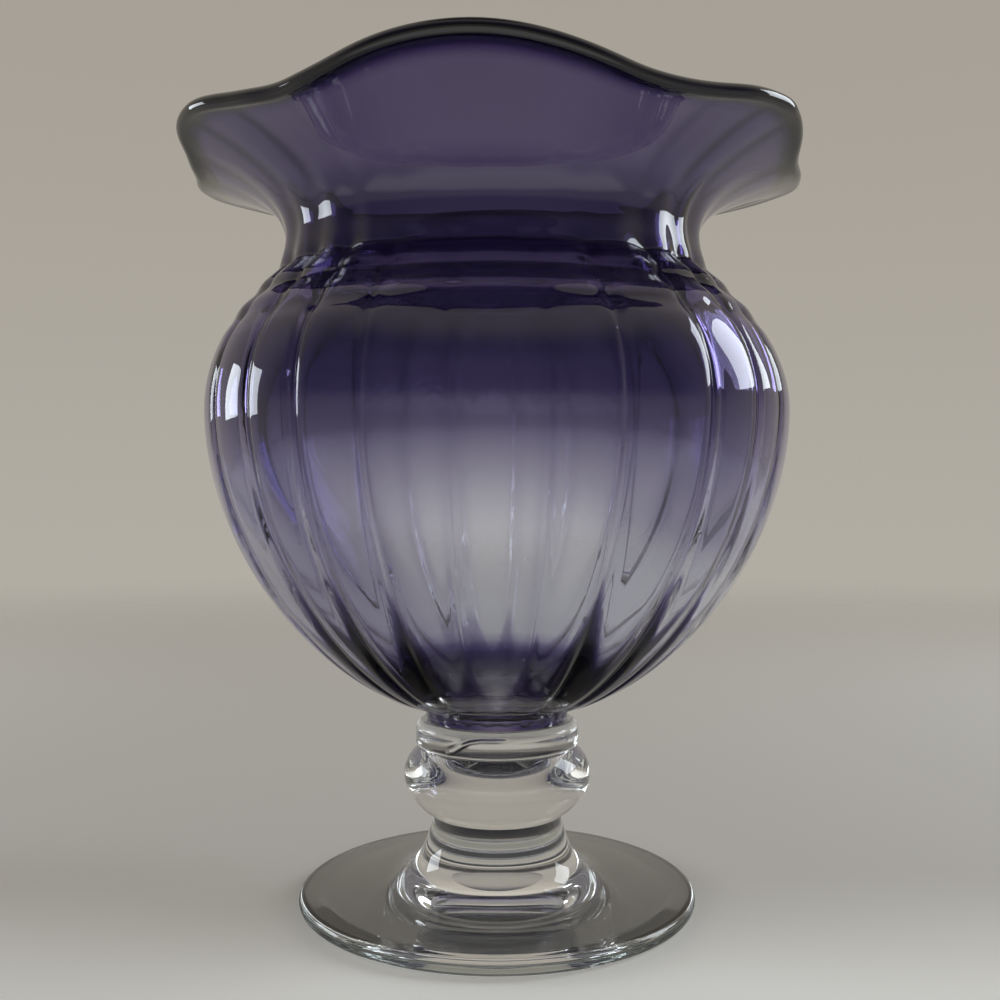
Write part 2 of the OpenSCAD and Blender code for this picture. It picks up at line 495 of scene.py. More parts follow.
def finish_piece(
    solid: bpy.types.Object, piece: Piece, material: bpy.types.Material
) -> None:
    """Dresses a piece and ties it to the frame.

    Args:
        solid: The piece's object.
        piece: Which piece it is.
        material: Its glass.
    """
    solid.data.materials.clear()
    solid.data.materials.append(material)
    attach(solid, "root")
    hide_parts(piece.value)


@dataclass
class Foot:
    """Clear solid foot: a low flared disc on a ring, rising to a short post. In millimetres."""

    radius: float = 66.6
    edge: float = 5.2
    dome: float = 4.5
    height: float = 29.5
    post_r: float = 21.3
    sweep: float = 9.0
    ring_in_r: float = 57.0
    ring_bevel: float = 0.8
    ring_to_edge: float = 1.6
    hollow: float = 2.2
    spot_r: float = 11.0
    spot: float = 0.6
    spot_edge: float = 0.4
    spot_rows: tuple[float, ...] = (0, 0.3, 0.6, 0.8, 0.9, 0.96, 1)
    hollow_rows: int = 26
    rim_rows: int = 18
    top_rows: int = 60
    top_crowding: float = 1.6
    lap: float = 0.06
    steps: int = 192

    def top_z(self, r: float) -> float:
        """Height of the upper face, a slope that sweeps up to the post.

        Args:
            r: Radius.

        Returns:
            The height there.
        """
        out = (r - self.post_r) / (self.radius - self.edge / 2 - self.post_r)
        swept = self.height - self.edge - self.dome
        return self.edge + self.dome * (1.0 - out) + swept * (1.0 - out) ** self.sweep

    def hollow_z(self, r: float) -> float:
        """Height of the hollow underside at a radius."""
        return self.hollow * (1.0 - (r / self.ring_in_r) ** 2)

    def section(self) -> list[Point]:
        """Its section.

        Returns:
            Points from the ground spot out and up to the joint with the knop.
        """
        half = self.edge / 2
        start = self.radius - half
        spot_z = self.hollow_z(self.spot_r)
        spot = [(self.spot_r * t, spot_z + self.spot * (1.0 - t**6)) for t in self.spot_rows]
        radii = np.linspace(self.spot_r + self.spot_edge, self.ring_in_r, self.hollow_rows).tolist()
        under = spot + [(r, self.hollow_z(r)) for r in radii]
        ring = [(self.ring_in_r + self.ring_bevel, 0.0), (start - self.ring_to_edge, 0.0)]
        rim = oval((start, half), half, half, -90, 90, self.rim_rows)
        top = []
        for i in range(1, self.top_rows + 1):
            r = self.post_r + (start - self.post_r) * (1.0 - i / self.top_rows) ** self.top_crowding
            top.append((r, self.top_z(r)))
        joint = self.height + self.lap
        return under + ring + rim + top + [(self.post_r * JOINT, joint), (0.0, joint)]

    def build(self) -> bpy.types.Object:
        """The foot's mesh."""
        return spun("clear_foot", self.section(), self.steps)

    def dress(self, solid: bpy.types.Object) -> None:
        """Gives the foot its glass."""
        finish_piece(solid, Piece.FOOT, FootGlass("clear_glass_foot").make())


@dataclass
class Knop:
    """Clear solid knop between the foot and the collar. In millimetres."""

    radius: float = 31.5
    low_z: float = 29.5
    height: float = 23.0
    wide: float = 13.8
    low_b: float = 19.5
    top_b: float = 17.0
    low_rows: int = 30
    top_rows: int = 26
    lap: float = 0.06
    steps: int = 160

    def section(self) -> list[Point]:
        """Its section.

        Returns:
            Points from its joint with the foot out and up to its joint with the collar.
        """
        wide_z = self.low_z + self.wide
        low_a = math.degrees(math.asin(self.wide / self.low_b))
        top_a = math.degrees(math.asin((self.height - self.wide) / self.top_b))
        low = oval((0.0, wide_z), self.radius, self.low_b, -low_a, 0, self.low_rows)
        top = oval((0.0, wide_z), self.radius, self.top_b, 0, top_a, self.top_rows)
        foot_z, top_z = self.low_z - self.lap, self.low_z + self.height + self.lap
        foot_joint = [(0.0, foot_z), (low[0][0] * JOINT, foot_z)]
        return foot_joint + low + top[1:] + [(top[-1][0] * JOINT, top_z), (0.0, top_z)]

    def build(self) -> bpy.types.Object:
        """The knop's mesh."""
        return spun("clear_knop", self.section(), self.steps)

    def dress(self, solid: bpy.types.Object) -> None:
        """Gives the knop its glass."""
        finish_piece(solid, Piece.KNOP, ClearGlass("clear_glass_knop").make())


@dataclass
class Collar:
    """Clear thread wound once round the bowl's end, lapped where its tail ends.

    Sizes are in millimetres. The tail's line is given as directions in degrees and heights.
    """

    radius: float = 27.5
    low_z: float = 52.5
    seat_z: float = 57.5
    lip: float = 4.0
    rounding: float = 1.6
    top_rounding: float = 3.0
    bowl_seat_r: float = 17.0
    bowl_end_r: float = 24.5
    bowl_end_h: float = 8.5
    low_rows: int = 12
    wall_rows: int = 14
    top_rows: int = 16
    seat_rows: int = 12
    lap: float = 0.08
    steps: int = 480
    tail_a: tuple[float, ...] = (230, 240, 246, 252, 259, 276, 290)
    tail_z: tuple[float, ...] = (53.5, 55.4, 57.4, 58.8, 59.3, 59.4, 59.3)
    tail_step: float = 3.0
    tail_start: Span = (232.0, 238.0)
    tail_end: Span = (268.0, 282.0)
    tail_depths: Span = (4.0, 2.0)
    tail_out: float = 0.22
    tail_wide: float = 0.8
    groove_in: float = 0.3
    groove_below: float = 0.2
    groove_wide: float = 0.55

    def seat_r(self, h: float) -> float:
        """Radius of the bowl's end at a height above its seat."""
        bulge = math.sqrt(1 - (1 - h / self.bowl_end_h) ** 2)
        return self.bowl_seat_r + (self.bowl_end_r - self.bowl_seat_r) * bulge

    def section(self) -> list[Point]:
        """Its section.

        Returns:
            Points from its joint with the knop out over the lip and in to the seat.
        """
        lip_z = self.seat_z + self.lip
        low, high = self.rounding, self.top_rounding
        out = oval((self.radius - low, self.low_z + low), low, low, -90, 0, self.low_rows)
        step = (lip_z - high - self.low_z - low) / self.wall_rows
        wall = [(self.radius, self.low_z + low + step * i) for i in range(1, self.wall_rows)]
        over = oval((self.radius - high, lip_z - high), high, high, 0, 90, self.top_rows)
        heights = [self.lip * i / self.seat_rows for i in range(self.seat_rows, 0, -1)]
        seat = [(self.seat_r(h) - self.lap, self.seat_z + h) for h in heights]
        inner = [(self.bowl_seat_r - self.lap, self.seat_z + self.lap), (0.0, self.seat_z + self.lap)]
        return [(0.0, self.low_z)] + out + wall + over + seat + inner

    def lapped(self, rows: np.ndarray, places: np.ndarray, angles: np.ndarray) -> np.ndarray:
        """Raises the thread's lapped tail out of the collar, with a groove under it.

        Args:
            rows: Row number of each vertex. All rows are treated alike.
            places: Its place in millimetres.
            angles: Its direction in degrees.

        Returns:
            New places in millimetres.
        """
        turned = angles % 360.0
        line = np.interp(turned, self.tail_a, self.tail_z)
        slope = np.interp(turned, self.tail_a, np.gradient(self.tail_z)) / self.tail_step
        off = (places[:, 2] - line) / np.sqrt(1.0 + slope**2)
        along = rise(turned, *self.tail_start) * (1.0 - rise(turned, *self.tail_end))
        reach = np.hypot(places[:, 0], places[:, 1])
        deep, shallow = self.tail_depths
        outside = rise(reach, self.radius - deep, self.radius - shallow)
        tail = self.tail_out * np.exp(-(((off - self.tail_wide) / self.tail_wide) ** 2))
        groove = self.groove_in * np.exp(-(((off + self.groove_below) / self.groove_wide) ** 2))
        new = places.copy()
        share = 1.0 + (tail - groove) * along * outside / np.maximum(reach, 1.0)
        new[:, 0:2] *= share[:, None]
        return new

    def build(self) -> bpy.types.Object:
        """The collar's mesh.

        Returns:
            The object, with the thread's tail raised.
        """
        solid = spun("clear_collar", self.section(), self.steps)
        reshape(solid, self.lapped)
        return solid

    def dress(self, solid: bpy.types.Object) -> None:
        """Gives the collar its glass."""
        finish_piece(solid, Piece.COLLAR, ClearGlass("clear_glass_collar").make())


@dataclass(frozen=True)
class Violet:
    """How much violet the bowl's wall holds. 1 is the full colour of the mouth's wall.

    Heights and widths are in millimetres. The wedges are painted shade: deeper violet in the
    creases low on the bowl, standing for the dark that refraction shows there. The ring round the inner
    floor is painted shade as well.
    """

    least: float = 0.025
    sides: float = 0.17
    sides_span: Span = (0.0, 0.3)
    upper: float = 0.86
    upper_z: Span = (113.0, 188.0)
    upper_power: float = 1.6
    neck: float = 0.8
    neck_z: Span = (191.0, 205.0)
    neck_end_z: Span = (224.0, 236.0)
    end: float = 0.5
    end_z: Span = (62.0, 76.0)
    # painted shade: a dark ring round the inner floor
    ring: float = 3.4
    ring_z: Span = (71.0, 79.0)
    lobe: float = 0.25
    lobe_z: Span = (224.0, 238.0)
    lobe_span: Span = (0.25, 0.65)
    # painted shade: a darker band on the mouth's last stretch, beside the bead
    rim: float = 0.8
    rim_span: Span = (0.9, 0.94)
    # the bead's thick glass, darkened further with painted shade, most at its tip
    bead: float = 2.0
    bead_more: float = 3.0
    bead_turn: float = 1.6
    # painted shade: dark wedges in the creases low on the bowl
    wedge_shade: float = 6.5
    wedge_shade_root: float = 0.25
    wedge_shade_root_z: Span = (66.0, 80.0)
    wedge_shade_h: float = 18.0
    wedge_shade_more_h: float = 32.0
    wedge_shade_tip: float = 0.5
    wedge_shade_wide: float = 3.0
    wedge_shade_more_wide: float = 5.5
    wedge_shade_edge: int = 6
    # painted shade: deeper violet lines along the creases, standing for the lines that refraction draws
    # there, stronger at the sides
    rib_front: float = 0.08
    rib_sides: float = 0.34
    rib_wide: float = 3.2
    rib_root: float = 0.3
    rib_z: Span = (80.0, 110.0)
    rib_end_z: Span = (205.0, 220.0)
    lobe_rib: float = 0.9
    lobe_rib_wide: float = 2.4

    def even(self, z: np.ndarray, side: np.ndarray) -> np.ndarray:
        """Even colour: nearly clear low down, full at the top, darker at the neck and the end.

        Args:
            z: Heights.
            side: 1 at the left and right, 0 at the front and back.

        Returns:
            The amount there.
        """
        upper = self.upper * rise(z, *self.upper_z) ** self.upper_power
        body = self.least + self.sides * rise(side, *self.sides_span) + upper
        neck = self.neck * rise(z, *self.neck_z) * (1.0 - rise(z, *self.neck_end_z))
        return body + neck + self.end * (1.0 - rise(z, *self.end_z))

    def crease_wedge_shade(self, z: np.ndarray, off: np.ndarray, share: np.ndarray) -> np.ndarray:
        """Painted shade: dark wedges in the creases low on the bowl.

        Args:
            z: Heights.
            off: Distances to the nearest crease.
            share: How much of the painted shade lies in that crease, 0 to 1.

        Returns:
            The amount there.
        """
        root_z = self.wedge_shade_root_z[0]
        low = 1.0 - rise(z, root_z, root_z + self.wedge_shade_h + self.wedge_shade_more_h * share)
        wide = self.wedge_shade_tip + (self.wedge_shade_wide + self.wedge_shade_more_wide * share) * low
        amount = self.wedge_shade * share * low**0.5 * np.exp(-((off / wide) ** self.wedge_shade_edge))
        return amount * (self.wedge_shade_root + (1.0 - self.wedge_shade_root) * rise(z, *self.wedge_shade_root_z))

    def ribbed(self, z: np.ndarray, off: np.ndarray, side: np.ndarray, lobe: np.ndarray) -> np.ndarray:
        """Painted shade: deeper lines along the ribs, which end at the neck and start again on the
        lobes.

        Args:
            z: Heights.
            off: Distances to the nearest crease.
            side: 1 at the left and right, 0 at the front and back.
            lobe: 1 on the mouth's lobes at the sides, 0 elsewhere.

        Returns:
            The amount there.
        """
        # painted shade along the creases, and along the lobes' flutes
        rib = (self.rib_front + self.rib_sides * side) * np.exp(-((off / self.rib_wide) ** 2))
        rib = rib * (self.rib_root + (1.0 - self.rib_root) * rise(z, *self.rib_z))
        on_lobe = self.lobe_rib * lobe * np.exp(-((off / self.lobe_rib_wide) ** 2))
        return rib * (1.0 - rise(z, *self.rib_end_z)) + on_lobe

    def extra(self, stretch: Stretch, t: float, z: np.ndarray) -> Numbers:
        """Violet that only some stretches of the wall have.

        Args:
            stretch: The row's stretch of wall.
            t: Its place along it.
            z: Heights.

        Returns:
            The ring's or the rim's painted shade, the bead's partly painted shade, or 0.
        """
        # painted shade: the ring round the inner floor
        if stretch is Stretch.LOW_IN:
            return self.ring * (1.0 - rise(z, *self.ring_z))
        # painted shade: the darker band beside the bead
        if stretch in (Stretch.FLARE, Stretch.FLARE_IN):
            return self.rim * rise(t, *self.rim_span)
        # the bead: thick glass, darkened further with painted shade
        if stretch is Stretch.BEAD:
            return self.bead + self.bead_more * math.cos(math.radians(t) / self.bead_turn)
        return 0.0

    def at(
        self,
        stretch: Stretch,
        t: float,
        z: np.ndarray,
        off: np.ndarray,
        share: np.ndarray,
        side: np.ndarray,
    ) -> np.ndarray:
        """All of the violet in one row of the wall.

        Args:
            stretch: The row's stretch of wall.
            t: Its place along it.
            z: Heights.
            off: Distances to the nearest crease.
            share: How much painted wedge shade lies in that crease, 0 to 1.
            side: 1 at the left and right, 0 at the front and back.

        Returns:
            The amount at each vertex.
        """
        lobe = rise(z, *self.lobe_z) * rise(side, *self.lobe_span)
        wall = self.even(z, side) + self.lobe * lobe + self.crease_wedge_shade(z, off, share)
        return wall + self.extra(stretch, t, z) + self.ribbed(z, off, side, lobe)


@dataclass
class Bowl:
    """Violet blown bowl with optic ribs, a ridged shoulder and a three-lobed mouth.

    Sizes are in millimetres and directions in degrees. The ribs are spaced as listed at the
    front: even_creases are the creases' directions if they were even, made_creases the real
    ones, and the table after them says how much painted shade darkens each crease low down.
    """

    seat_r: float = 17.0
    end_r: float = 24.5
    end_h: float = 8.5
    seat_z: float = 57.5
    belly_r: float = 96.4
    belly_z: float = 164.0
    crease_r: float = 72.0
    crease_z: float = 209.5
    neck_r: float = 69.2
    neck_z: float = 221.0
    wall: float = 3.0
    floor_r: float = 18.0
    floor_z: float = 70.0
    level_z: float = 196.0
    lean: float = 1.5
    low_out: float = 1.5
    low_up: float = 1.9
    shoulder: float = 2.05
    ridge_depth: float = 1.05
    ridge_h: float = 8.8
    grooves: Span = (-0.5, 2.5)
    groove_first: float = 0.25
    groove_first_span: Span = (0.1, 0.8)
    groove_last: float = 0.5
    groove_last_span: Span = (1.1, 1.7)
    inner_depth: float = 0.5
    inner_groove_z: Span = (203.0, 206.0)
    mouth_r: float = 107.3
    mouth_z: float = 248.0
    lobes: int = 3
    lobe_out: float = 7.5
    lobe_nip: float = 4.6
    lobe_drop: float = 0.6
    lobe_wave: float = 2.1
    lobe_turn: float = 267.0
    bead_r: float = 2.2
    turn_h: float = 15.5
    thinning: float = 0.2
    mouth_rise: float = 0.6
    ribs: int = 24
    rib_depth: float = 1.5
    rib_turn: float = 10.0
    rib_crowding: float = 0.09
    rib_waist: float = 0.3
    rib_waist_h: float = 20.0
    rib_high: float = 0.7
    rib_high_z: Span = (182.0, 196.0)
    rib_neck: float = 0.65
    rib_neck_z: Span = (206.0, 216.0)
    rib_flare: float = 0.5
    rib_flare_h: float = 22.0
    inner_rib_z: Span = (185.0, 200.0)
    notch: float = 1.7
    notch_more: float = 1.8
    notch_more_z: Span = (184.0, 198.0)
    notch_sharp: float = 0.75
    notch_soft_z: Span = (205.0, 213.0)
    right_z: Span = (108.0, 138.0)
    front: tuple[float, ...] = (240.0, 258.0, 287.0, 297.0)
    front_depth: tuple[float, ...] = (1.0, 0.3, 0.3, 1.0)
    even_creases: tuple[float, ...] = (0, *range(190, 356, 15), 360)
    made_creases: tuple[float, ...] = (
        0, 190, 207, 221.7, 234.3, 247.8, 262.4, 278, 291.4, 309.3, 322.5, 333, 354, 360
    )
    # painted shade: how dark the wedge in each crease low on the bowl is painted
    wedge_shades: tuple[float, ...] = (0.1, 0.1, 0.6, 1, 1, 0.9, 0.27, 0.27, 1, 1, 1, 0.6, 0.2, 0.1)
    steps_per_rib: int = 16
    tint: Violet = field(default_factory=Violet)
    outer_rows: int = field(default=0, init=False)
    parts: list[tuple[Stretch, float]] = field(default_factory=list, init=False)
    violet: np.ndarray = field(default_factory=lambda: np.zeros(0), init=False)

    def low_wall(self, t: np.ndarray, r0: float, r1: float, z0: float) -> tuple[np.ndarray, np.ndarray]:
        """Curve of the lower belly, a quarter of a superellipse.

        Args:
            t: Places along it, from the end at 0 to the belly at 1.
            r0: Radius at the end.
            r1: Radius at the belly.
            z0: Height at the end.

        Returns:
            Radii and heights.
        """
        a = np.radians(90.0 * t)
        r = r0 + (r1 - r0) * np.sin(a) ** (2.0 / self.low_out)
        return r, self.belly_z - (self.belly_z - z0) * np.clip(np.cos(a), 0, 1) ** (2.0 / self.low_up)

    def shoulder_share(self, z: np.ndarray) -> np.ndarray:
        """How far up the shoulder a height is, 0 at the belly and 1 at the crease."""
        return np.maximum(0.0, z - self.belly_z) / (self.crease_z - self.belly_z)

    def shoulder_r(self, z: np.ndarray) -> np.ndarray:
        """Radius of the shoulder at a height, its grooves left out."""
        return self.belly_r - (self.belly_r - self.crease_r) * self.shoulder_share(z) ** self.shoulder

    def groove(self, z: np.ndarray) -> np.ndarray:
        """Depth of the grooves beside the two ridges. The first and the last are shallower.

        Args:
            z: Heights.

        Returns:
            Depths.
        """
        phase = (self.crease_z - z) / self.ridge_h
        inside = (phase > self.grooves[0]) & (phase < self.grooves[1])
        dip = 0.5 + 0.5 * np.cos(math.tau * phase)
        share = self.groove_first + (1.0 - self.groove_first) * rise(phase, *self.groove_first_span)
        share = share * (1.0 - self.groove_last * rise(phase, *self.groove_last_span))
        return np.where(inside, self.ridge_depth * dip * share, 0.0)

    def inner_share(self, z: np.ndarray, low: float, high: float) -> np.ndarray:
        """Share of the outside's depth that the inside has, whole above high."""
        return self.inner_depth + (1.0 - self.inner_depth) * rise(z, low, high)

    def step_in(self, z: np.ndarray) -> tuple[np.ndarray, np.ndarray]:
        """Step from the outside of the shoulder or neck to the inside.

        It turns slowly from the wall's normal on the shoulder to level at the neck, so that
        the two faces of the wall stay parallel and the wall is no lens.

        Args:
            z: Heights outside.

        Returns:
            Steps in radius and in height.
        """
        slope = (self.belly_r - self.crease_r) * self.shoulder / (self.crease_z - self.belly_z)
        tilt = np.arctan(slope * self.shoulder_share(z) ** (self.shoulder - 1.0))
        tilt = tilt * (1.0 - rise(z, self.level_z, self.neck_z))
        return -self.wall * np.cos(tilt), -self.wall * np.sin(tilt)

    def mouth(self, angle: np.ndarray) -> tuple[np.ndarray, np.ndarray]:
        """Edge of the mouth.

        Args:
            angle: Directions.

        Returns:
            Radii and heights.
        """
        q = np.radians(self.lobes * (angle - self.lobe_turn))
        r = self.mouth_r + self.lobe_out * np.cos(q) + self.lobe_nip * np.cos(2 * q)
        return r, self.mouth_z - self.lobe_drop * np.cos(q) + self.lobe_wave * np.cos(2 * q)

    def flare(self, angle: np.ndarray, s: np.ndarray) -> tuple[np.ndarray, ...]:
        """Outer curve of the mouth, a Bezier curve of three points.

        Args:
            angle: Directions.
            s: Places along it, from the neck at 0 to the edge at 1.

        Returns:
            Radii, heights, and the curve's direction as the two parts of a unit vector.
        """
        mr, mz = self.mouth(angle)
        b0, b1, b2 = (1 - s) ** 2, 2 * s * (1 - s), s * s
        r = (b0 + b1) * self.neck_r + b2 * mr
        z = b0 * self.neck_z + b1 * (self.neck_z + self.turn_h) + b2 * mz
        dr = s * (mr - self.neck_r)
        dz = (1 - s) * self.turn_h + s * (mz - self.neck_z - self.turn_h)
        size = np.hypot(dr, dz)
        return r, z, dr / size, dz / size

    def rows(self) -> list[tuple[Stretch, float]]:
        """The rows of the wall, in order. Notes how many of them are outside.

        Returns:
            Each row's stretch of wall and its place along it. On the bead that is an angle.
        """
        outside = (
            (Stretch.SEAT, (0.0, 0.5, 0.93)),
            (Stretch.END, np.linspace(0.0, 1.0, 10)[:-1]),
            (Stretch.LOW, np.linspace(0.0, 1.0, 50) ** 1.15),
            (Stretch.SHOULDER, np.linspace(0.0, 1.0, 62)[1:]),
            (Stretch.NECK, np.linspace(0.0, 1.0, 9)[1:]),
            (Stretch.FLARE, np.linspace(0.0, 0.93, 26)[1:]),
            (Stretch.BEAD, np.linspace(-115.0, 115.0, 14)),
        )
        inside = (
            (Stretch.FLARE_IN, np.linspace(0.92, 0.0, 22)),
            (Stretch.NECK_IN, np.linspace(0.9, 0.1, 7)),
            (Stretch.SHOULDER_IN, np.linspace(0.98, 0.04, 32)),
            (Stretch.LOW_IN, np.linspace(1.0, 0.0, 26) ** 1.1),
            (Stretch.FLOOR, (0.5, 0.0)),
        )
        self.outer_rows = sum(len(places) for _, places in outside)
        return [(stretch, t) for stretch, places in outside + inside for t in places]

    def low_at(self, stretch: Stretch, t: float, one: np.ndarray) -> tuple[np.ndarray, np.ndarray]:
        """Place of a row below the belly, or of the inner floor.

        Args:
            stretch: The row's stretch of wall.
            t: Its place along it.
            one: A one for each direction.

        Returns:
            Radii and heights.
        """
        if stretch is Stretch.SEAT:
            return self.seat_r * t * one, self.seat_z * one
        if stretch is Stretch.END:
            h = self.end_h * t * t
            r = self.seat_r + (self.end_r - self.seat_r) * math.sqrt(1 - (1 - h / self.end_h) ** 2)
            return r * one, (self.seat_z + h) * one
        if stretch is Stretch.LOW:
            return self.low_wall(t * one, self.end_r, self.belly_r, self.seat_z + self.end_h)
        if stretch is Stretch.LOW_IN:
            return self.low_wall(t * one, self.floor_r, self.belly_r - self.wall, self.floor_z)
        return self.floor_r * t * one, self.floor_z * one

    def middle_at(self, stretch: Stretch, t: float, one: np.ndarray) -> tuple[np.ndarray, np.ndarray]:
        """Place of a row on the shoulder or the neck.

        Args:
            stretch: The row's stretch of wall.
            t: Its place along it.
            one: A one for each direction.

        Returns:
            Radii and heights.
        """
        if stretch in (Stretch.SHOULDER, Stretch.SHOULDER_IN):
            z = self.belly_z + (self.crease_z - self.belly_z) * t * one
            depth = self.groove(z)
            if stretch is Stretch.SHOULDER_IN:
                depth = depth * self.inner_share(z, *self.inner_groove_z)
            r = self.shoulder_r(z) - depth
        else:
            z = (self.crease_z + (self.neck_z - self.crease_z) * t) * one
            line = self.crease_r + (self.neck_r - self.crease_r) * math.sin(math.pi / 2 * t)
            r = line - self.groove(z)
        if stretch in (Stretch.SHOULDER, Stretch.NECK):
            return r, z
        dr, dz = self.step_in(z)
        return r + dr, z + dz

    def mouth_at(self, stretch: Stretch, t: float, angle: np.ndarray) -> tuple[np.ndarray, np.ndarray]:
        """Place of a row on the flared mouth or its bead.

        Args:
            stretch: The row's stretch of wall.
            t: Its place along it.
            angle: Directions.

        Returns:
            Radii and heights.
        """
        one = np.ones_like(angle)
        if stretch is Stretch.BEAD:
            r, z, dr, dz = self.flare(angle, one)
            cr = r - dz * self.wall / 2 - self.bead_r * dr
            cz = z + dr * self.wall / 2 - self.bead_r * dz
            c, s = math.cos(math.radians(t)), math.sin(math.radians(t))
            return cr + self.bead_r * (c * dr - s * dz), cz + self.bead_r * (c * dz + s * dr)
        r, z, _, _ = self.flare(angle, t * one)
        if stretch is Stretch.FLARE:
            return r, z
        # the inside is the outside moved by a nearly even step, so the wall is no lens
        return r - self.wall * (1.0 - self.thinning * t), z + self.mouth_rise * self.wall * t

    def wall_at(self, stretch: Stretch, t: float, angle: np.ndarray) -> tuple[np.ndarray, np.ndarray]:
        """Place of one row in each direction, without ribs.

        Args:
            stretch: The row's stretch of wall.
            t: Its place along it.
            angle: Directions.

        Returns:
            Radii and heights.
        """
        if stretch in (Stretch.FLARE, Stretch.BEAD, Stretch.FLARE_IN):
            return self.mouth_at(stretch, t, angle)
        if stretch in (Stretch.SHOULDER, Stretch.SHOULDER_IN, Stretch.NECK, Stretch.NECK_IN):
            return self.middle_at(stretch, t, np.ones_like(angle))
        return self.low_at(stretch, t, np.ones_like(angle))

    def rib_at(self, z: np.ndarray) -> np.ndarray:
        """Strength of the ribs: none at the end, weak on the belly, strong on the shoulder.

        Args:
            z: Heights.

        Returns:
            1 for the depth that the ribs have low on the bowl.
        """
        start = rise(z, self.seat_z, self.seat_z + 2 * self.end_h)
        waist = 1 - self.rib_waist * rise(z, self.belly_z, self.belly_z + self.rib_waist_h)
        waist = waist + self.rib_high * rise(z, *self.rib_high_z)
        neck = 1 - self.rib_neck * rise(z, *self.rib_neck_z)
        flare = 1 - self.rib_flare * rise(z, self.neck_z, self.neck_z + self.rib_flare_h)
        return start * waist * neck * flare

    def notch_at(self, z: np.ndarray, off: np.ndarray, crowd: np.ndarray) -> np.ndarray:
        """Shape of the creases: a sharp notch low down, a soft wave from the neck up.

        Args:
            z: Heights.
            off: Distances to the nearest crease.
            crowd: Places across a rib, 0 to 1.

        Returns:
            1 in the creases, 0 on the ribs.
        """
        width = self.notch + self.notch_more * rise(z, *self.notch_more_z)
        sharp = self.notch_sharp * np.exp(-((off / width) ** 2))
        sharp = sharp + (1.0 - self.notch_sharp) * (1.0 - np.abs(np.sin(math.pi * crowd)))
        soft = rise(z, *self.notch_soft_z)
        return sharp * (1.0 - soft) + soft * (0.5 + 0.5 * np.cos(math.tau * crowd))

    def place(self, rows: np.ndarray, places: np.ndarray, angles: np.ndarray) -> np.ndarray:
        """Gives every vertex of the spun wall its place, and notes how much violet it holds.

        Args:
            rows: Row number of each vertex.
            places: Its place before, in millimetres.
            angles: Its direction in degrees.

        Returns:
            New places in millimetres.
        """
        on_axis = np.hypot(places[:, 0], places[:, 1]) < MERGE / MM
        # vertices crowd towards the creases, where the wall turns sharply
        phase = (angles - self.rib_turn) * self.ribs / 360.0
        part = phase - np.floor(phase)
        crowd = part - self.rib_crowding * np.sin(math.tau * part)
        even = (self.rib_turn + (np.floor(phase) + crowd) * 360.0 / self.ribs) % 360.0
        angle = np.interp(even, self.even_creases, self.made_creases)
        across = np.radians(np.minimum(crowd, 1.0 - crowd) * 360.0 / self.ribs)
        depth = self.rib_depth * np.interp(even, self.front, self.front_depth)
        # share of the painted wedge shade in each crease
        crease_wedge_shade = np.interp(even, self.even_creases, self.wedge_shades)
        new = places.copy()
        self.violet = np.zeros(len(rows))
        for i, (stretch, t) in enumerate(self.parts):
            at = rows == i
            r, z = self.wall_at(stretch, t, angle[at])
            cut = depth[at] * self.notch_at(z, across[at] * r, crowd[at]) * self.rib_at(z)
            if i >= self.outer_rows:
                cut = cut * self.inner_share(z, *self.inner_rib_z)
            r = r - np.where(r > 1.0, cut, 0.0)  # not on the axis
            turn = np.radians(angle[at])
            new[at, 0] = r * np.cos(turn) - self.lean * rise(z, self.belly_z, self.neck_z)
            new[at, 1] = r * np.sin(turn)
            new[at, 2] = z
            side = np.cos(turn) ** 2 * np.where(np.cos(turn) > 0.0, rise(z, *self.right_z), 1.0)
            # the violet holds painted shade too: the low wedges, the floor's ring, the rim, part of the
            # bead and the crease lines
            self.violet[at] = self.tint.at(stretch, t, z, across[at] * r, crease_wedge_shade[at], side)
        new[on_axis, 0:2] = 0.0
        return new

    def build(self) -> bpy.types.Object:
        """The bowl's mesh, with its amount of violet in an attribute.

        Returns:
            The object.
        """
        self.parts = self.rows()
        zero = np.zeros(1)
        places = [self.wall_at(stretch, t, zero) for stretch, t in self.parts]
        section = [(float(r[0]), float(z[0])) for r, z in places]
        solid = spun("violet_bowl", section, self.ribs * self.steps_per_rib)
        reshape(solid, self.place)
        write(solid, "violet", self.violet)
        return solid

    def dress(self, solid: bpy.types.Object) -> None:
        """Gives the bowl its glass."""
        finish_piece(solid, Piece.BOWL, OmbreGlass("violet_glass").make())


# Studio


@dataclass(frozen=True)
class Camera:
    """The camera, as the vase is looked at. Its eye is in metres, its turn down in degrees."""

    eye: tuple[float, float, float] = (0.001, -0.400, 0.143)
    down: float = 1.1
    lens: float = 42.48
    film: float = 36.0
    nearest: float = 0.01

    def build(self) -> None:
        """Sets the camera up."""
        data = bpy.data.cameras.new("camera")
        data.lens, data.sensor_width = self.lens, self.film
        data.clip_start = self.nearest
        camera = bpy.data.objects.new("camera", data)
        bpy.context.scene.collection.objects.link(camera)
        camera.location = self.eye
        camera.rotation_euler = (math.radians(90.0 - self.down), 0.0, 0.0)
        bpy.context.scene.camera = camera


